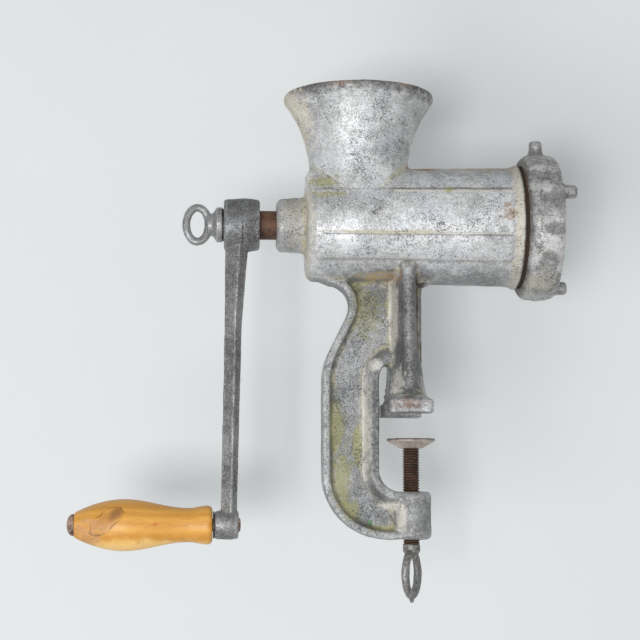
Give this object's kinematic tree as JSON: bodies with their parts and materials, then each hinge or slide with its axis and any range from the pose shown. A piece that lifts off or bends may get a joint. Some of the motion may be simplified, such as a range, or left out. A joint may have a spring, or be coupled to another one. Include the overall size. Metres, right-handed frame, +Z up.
{
  "type": "manual meat grinder",
  "caption": "Table-clamped cast-iron meat grinder with flared hopper, barrel, ring nut, C-frame screw clamp and hand crank with a turned wooden grip.",
  "frame": {"origin": "on the clamp screw's axis, in the plane of the two table feet", "axes": "+Z up along the clamp screw, +X along the worm axis towards the outlet, crank at -X"},
  "size_m": [0.2931, 0.092, 0.2984],
  "materials": {
    "tinned_iron": "worn tinned casting",
    "dull_iron": "dull grey casting",
    "rusted_steel": "rusted bare steel",
    "bright_steel": "worn ground steel",
    "washer_steel": "dark brown steel",
    "varnished_wood": "worn amber varnish"
  },
  "bodies": {
    "casting": {"body_casting": "tinned_iron", "plate_key": "bright_steel", "thrust_washer": "washer_steel"},
    "worm_shaft": {"feed_worm": "tinned_iron", "worm_shank": "rusted_steel", "worm_stud": "bright_steel", "knife": "bright_steel"},
    "crank": {"crank_arm": "dull_iron", "crank_washer": "washer_steel", "grip_spindle": "rusted_steel", "grip_washer": "washer_steel"},
    "eye": {"eye_screw": "dull_iron", "eye_screw_stud": "rusted_steel"},
    "grip": {"grip": "varnished_wood"},
    "plate": {"hole_plate": "bright_steel"},
    "ring": {"ring_nut": "tinned_iron"},
    "pad": {"pressure_pad": "dull_iron"},
    "screw": {"clamp_screw": "rusted_steel", "clamp_wing": "dull_iron"}
  },
  "joints": [
    {"name": "crank_turn", "type": "hinge", "parent": "casting", "child": "worm_shaft", "pos_m": [0, 0, 0.1118], "axis": [1, 0, 0], "continuous": true},
    {"name": "crank_draw", "type": "slide", "parent": "worm_shaft", "child": "crank", "axis": [-1, 0, 0], "range_m": [0, 0.008]},
    {"name": "eye_turn", "type": "hinge", "parent": "crank", "child": "eye", "pos_m": [-0.115, 0, 0.1118], "axis": [-1, 0, 0], "range_deg": [0, 2304.5]},
    {"name": "grip_spin", "type": "hinge", "parent": "crank", "child": "grip", "pos_m": [-0.15, 0, -0.0638], "axis": [1, 0, 0], "continuous": true},
    {"name": "plate_draw", "type": "slide", "parent": "casting", "child": "plate", "axis": [1, 0, 0], "range_m": [0, 0.01201]},
    {"name": "ring_turn", "type": "hinge", "parent": "plate", "child": "ring", "pos_m": [0.074, 0, 0.1118], "axis": [1, 0, 0], "range_deg": [0, 1440]},
    {"name": "clamp_travel", "type": "slide", "parent": "casting", "child": "pad", "axis": [0, 0, 1], "range_m": [-0.0245, 0.0025]},
    {"name": "clamp_turn", "type": "hinge", "parent": "pad", "child": "screw", "pos_m": [0, 0, -0.045], "axis": [0, 0, 1], "range_deg": [-5881, 601]}
  ],
  "couplings": [
    {"joint": "eye_turn", "follows": "crank_draw", "rad_per_m": 5026.5},
    {"joint": "plate_draw", "follows": "ring_turn", "m_per_rad": 0.00047746},
    {"joint": "clamp_turn", "follows": "clamp_travel", "rad_per_m": 4188.8}
  ]
}
